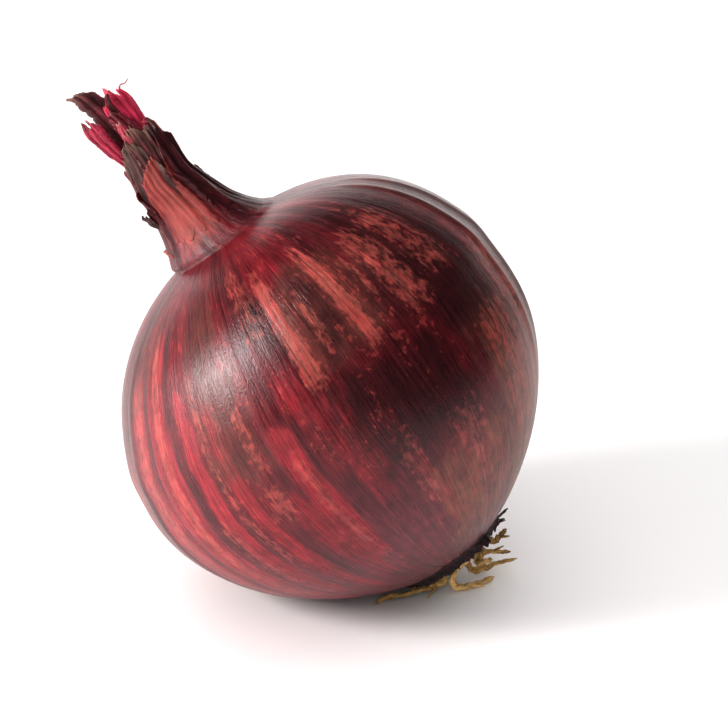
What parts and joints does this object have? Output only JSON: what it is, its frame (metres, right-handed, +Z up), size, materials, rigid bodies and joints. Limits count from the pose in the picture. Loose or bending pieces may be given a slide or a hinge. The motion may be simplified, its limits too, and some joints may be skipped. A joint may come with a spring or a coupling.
{
  "type": "red onion",
  "caption": "Whole red onion lying on its side slope: round bulb with a tapering neck, torn dry leaf ends, a dark basal plate and short dried roots.",
  "frame": {"origin": "on the surface the onion rests on, under the middle of its overall box", "axes": "+Z up; the neck leans over towards -X and the roots are at +X; -Y is the front"},
  "size_m": [0.0818, 0.0778, 0.0911],
  "materials": {
    "onion_skin": "satin papery skin, crimson to dark maroon with brown and salmon mottling along the ribs",
    "root_plate": "matt, dark maroon-brown, ragged corky scales",
    "dry_root": "matt, golden tan to olive brown dried strands",
    "dry_leaf": "satin, dried leaf ends from magenta red to dark brown with pale torn edges"
  },
  "bodies": {
    "root": {"bulb": "onion_skin", "basal_plate": "root_plate", "leaf_end_centre": "dry_leaf", "leaf_end_left": "dry_leaf", "leaf_end_right": "dry_leaf", "leaf_end_inner": "dry_leaf", "leaf_end_back": "dry_leaf", "leaf_end_back_left": "dry_leaf", "husk_scrap_neck": "dry_leaf", "root_front_long": "dry_root", "root_pale_low": "dry_root", "root_pale_curl": "dry_root", "root_right_long": "dry_root", "root_right_bright": "dry_root", "root_right_bent": "dry_root", "root_right_high": "dry_root", "root_stub_right": "dry_root", "root_stub_front": "dry_root", "root_back_long": "dry_root", "root_back_low": "dry_root", "root_back_curl": "dry_root", "root_stub_back": "dry_root", "root_stub_low": "dry_root"}
  },
  "joints": []
}
